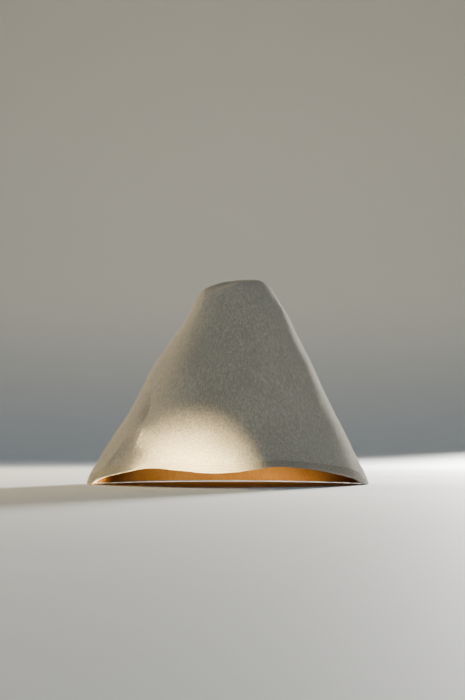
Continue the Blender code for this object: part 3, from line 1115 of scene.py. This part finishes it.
# %% [markdown]
# ## Floor and light
# The floor is a wide plain disc that sweeps up into a wall all round, so there is a quiet background from
# every side. The light is soft. One lamp behind the hat at the right draws its bright edge, one behind at
# the left warms that side, one shines on the far wall, and a cool one hangs over the floor.
#
# Three small lamps shine on the hat alone, through a collection of receivers, so they leave no streak on
# the floor. One makes the bright patch at the front hem. The other two light the lining, one from in
# front under the raised hem and one from inside the hat.

# %% The floor and its wall
FLOOR_START = 0.02
FLOOR_RADIUS = 1.4
FLOOR_RINGS = 8
SWEEP = 3.2
SWEEP_RINGS = 32
WALL_TOP = 3.6
COVE_COLUMNS = 128
WALL_RANGE = (0.0, 0.6)
FLOOR_LIGHT = rgba(192, 194, 191)
FLOOR_DARK = rgba(184, 186, 182)
WALL_COLOUR = rgba(230, 223, 202)
PLASTER = Grain(9.0, 4.0, 0.5)


def studio_floor():
    """A turned surface: flat to the floor's radius, a quarter circle up, then straight to the top."""
    flat = np.linspace(FLOOR_START, FLOOR_RADIUS, FLOOR_RINGS)
    quarter = np.linspace(0.0, np.pi / 2.0, SWEEP_RINGS + 1)[1:]
    radius = np.concatenate((flat, FLOOR_RADIUS + SWEEP * np.sin(quarter), [FLOOR_RADIUS + SWEEP]))
    height = np.concatenate((np.zeros(FLOOR_RINGS), SWEEP * (1.0 - np.cos(quarter)), [WALL_TOP]))
    angle = full_turn(COVE_COLUMNS)
    points = np.stack((
        radius[:, None] * np.cos(angle), radius[:, None] * np.sin(angle),
        np.broadcast_to(height[:, None], (len(radius), COVE_COLUMNS)),
    ), axis=-1)
    quads = ring_grid(len(radius), COVE_COLUMNS)[2]
    return add_mesh("studio_floor", points, quads.tolist() + [list(range(COVE_COLUMNS))])


def plaster_finish():
    """Pale plaster with a faint grain, which warms from the floor to the wall."""
    plaster = Finish("pale_plaster")
    height = plaster.node("ShaderNodeSeparateXYZ", "Z", {}, {"Vector": plaster.place()})
    floor_tone = plaster.blend(plaster.noise(plaster.place(), PLASTER), FLOOR_DARK, FLOOR_LIGHT)
    plaster.colour(plaster.blend(height.between(*WALL_RANGE), floor_tone, WALL_COLOUR))
    plaster.constants({"Roughness": 0.8, "Metallic": 0.0, "Specular IOR Level": 0.2})
    return plaster.material


floor = studio_floor()
floor.data.materials.append(plaster_finish())
print(f"The floor is flat for {FLOOR_RADIUS:.1f} m round the hat.")

# %% The lights
HAT_MIDDLE = (0.0, 0.0, 0.09)
HEM_AIM = (-0.078, -0.090, 0.022)
FLOOR_AIM = (0.0, -0.3, 0.0)
LINING_AIM = (0.0, 0.0, 0.012)
INNER_AIM = (0.0, 0.11, 0.024)
WALL_AIM = (0.0, 3.6, 0.3)
WARM = (1.0, 0.97, 0.92)
AMBER = (1.0, 0.73, 0.42)
GOLD = (1.0, 0.75, 0.36)
MILD = (1.0, 0.98, 0.93)
SKY = (0.50, 0.75, 1.0)
AIR = rgba(132, 176, 242)
AIR_STRENGTH = 0.16

hat_pieces = bpy.data.collections.new("hat_pieces")
for piece in (felt_shell, lining, outer_stitches, inner_stitches, *wool_layers):
    hat_pieces.objects.link(piece)

Lamp = namedtuple("Lamp", "name place aim size spread power colour lit")
LAMPS = (
    Lamp("edge_light", (0.87, 1.73, 0.35), HAT_MIDDLE, 0.32, 110.0, 96.0, WARM, None),
    Lamp("left_light", (-1.38, 1.00, 0.40), HAT_MIDDLE, 0.5, 110.0, 27.0, GOLD, None),
    Lamp("front_light", (1.10, -1.20, 0.10), HEM_AIM, 0.05, 3.0, 0.30, GOLD, hat_pieces),
    Lamp("hem_light", (-0.70, -1.45, 0.05), LINING_AIM, 0.06, 4.0, 0.012, AMBER, hat_pieces),
    Lamp("inner_light", (0.0, -0.03, 0.050), INNER_AIM, 0.08, 100.0, 0.11, MILD, hat_pieces),
    Lamp("top_light", (0.0, 1.9, 2.9), WALL_AIM, 1.6, 160.0, 18.0, MILD, None),
    Lamp("over_light", (0.0, -0.3, 2.7), FLOOR_AIM, 2.2, 160.0, 12.0, SKY, None),
)


def soft_light(row):
    """A square area lamp with so many degrees of spread, which lights all, or one collection."""
    data = bpy.data.lights.new(row.name, "AREA")
    data.shape = "SQUARE"
    data.size = row.size
    data.spread = math.radians(row.spread)
    data.energy = row.power
    data.color = row.colour
    lamp = bpy.data.objects.new(row.name, data)
    lamp.location = row.place
    lamp.rotation_euler = (Vector(row.aim) - Vector(row.place)).to_track_quat("-Z", "Y").to_euler()
    lamp.visible_camera = False
    lamp.light_linking.receiver_collection = row.lit
    bpy.context.scene.collection.objects.link(lamp)


for row in LAMPS:
    soft_light(row)
print(f"{len(LAMPS)} lamps, {sum(row.lit is not None for row in LAMPS)} of them on the hat alone.")

world = bpy.data.worlds.new("studio_air")
world.use_nodes = True
air = world.node_tree.nodes["Background"]
air.inputs["Color"].default_value = AIR
air.inputs["Strength"].default_value = AIR_STRENGTH
bpy.context.scene.world = world
